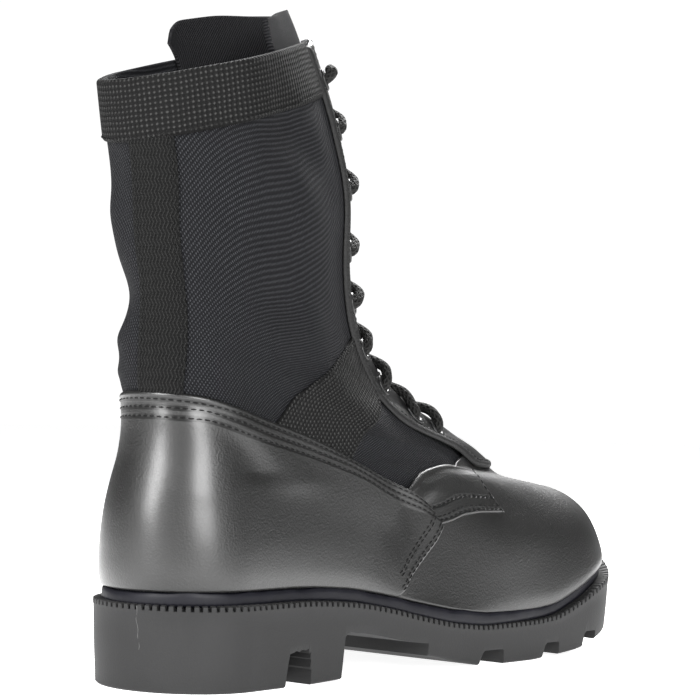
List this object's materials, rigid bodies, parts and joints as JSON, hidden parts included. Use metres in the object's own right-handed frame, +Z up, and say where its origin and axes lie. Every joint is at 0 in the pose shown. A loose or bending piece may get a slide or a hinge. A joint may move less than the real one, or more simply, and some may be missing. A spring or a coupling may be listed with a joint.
{
  "type": "jungle boot",
  "caption": "Right jungle boot with a leather foot, nylon shaft and lugged rubber sole, laced up the front.",
  "frame": {"origin": "middle of the bounding box, on the floor", "axes": "+X to the toe, +Y to the inner side of the foot, +Z up"},
  "size_m": [0.3218, 0.1014, 0.2813],
  "materials": {
    "rubber": "matte",
    "nylon": "matte",
    "webbing": "matte",
    "leather": "semi-gloss",
    "lace": "matte",
    "eyelet": "satin",
    "insole": "matte"
  },
  "bodies": {
    "root": {"outsole": "rubber", "insole": "insole", "upper": "nylon", "tongue": "nylon", "vamp": "leather", "quarter": "leather", "facing_outer": "leather", "facing_inner": "leather", "collar_band": "webbing", "back_strap": "webbing", "ankle_strap_outer": "webbing", "ankle_strap_inner": "webbing", "lace": "lace", "eyelet_outer_1": "eyelet", "eyelet_inner_1": "eyelet", "eyelet_outer_2": "eyelet", "eyelet_inner_2": "eyelet", "eyelet_outer_3": "eyelet", "eyelet_inner_3": "eyelet", "eyelet_outer_4": "eyelet", "eyelet_inner_4": "eyelet", "eyelet_outer_5": "eyelet", "eyelet_inner_5": "eyelet", "eyelet_outer_6": "eyelet", "eyelet_inner_6": "eyelet", "eyelet_outer_7": "eyelet", "eyelet_inner_7": "eyelet", "eyelet_outer_8": "eyelet", "eyelet_inner_8": "eyelet", "eyelet_outer_9": "eyelet", "eyelet_inner_9": "eyelet"}
  },
  "joints": []
}
